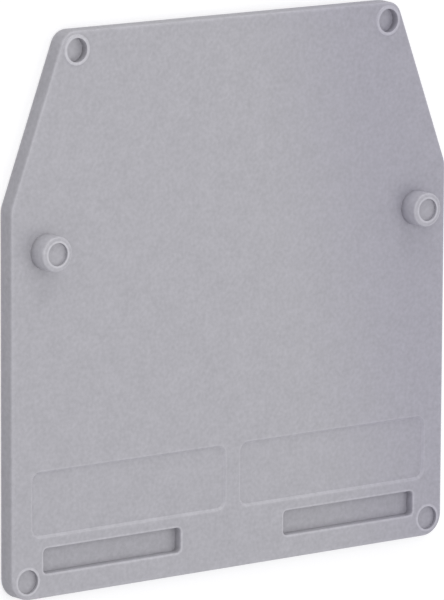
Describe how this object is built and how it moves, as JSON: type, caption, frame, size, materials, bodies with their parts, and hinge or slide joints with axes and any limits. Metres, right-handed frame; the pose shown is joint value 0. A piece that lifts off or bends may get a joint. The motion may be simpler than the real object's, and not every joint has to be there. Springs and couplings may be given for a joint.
{
  "type": "terminal block partition plate",
  "caption": "Flat moulded plate with sloping upper sides, round locating pegs, shallow label panels and long pockets, used to separate or close off rail-mounted terminal blocks.",
  "frame": {"origin": "middle of the flat back, under the centre of the bounding box", "axes": "+Z out of the face that carries the pegs, +Y towards the narrow top end, +X across the width"},
  "size_m": [0.0426, 0.044, 0.0032],
  "materials": {
    "grey_plastic": "fine spark-eroded mould texture, matte, with smoother ends on the pegs"
  },
  "bodies": {
    "root": {"partition_plate": "grey_plastic"}
  },
  "joints": []
}
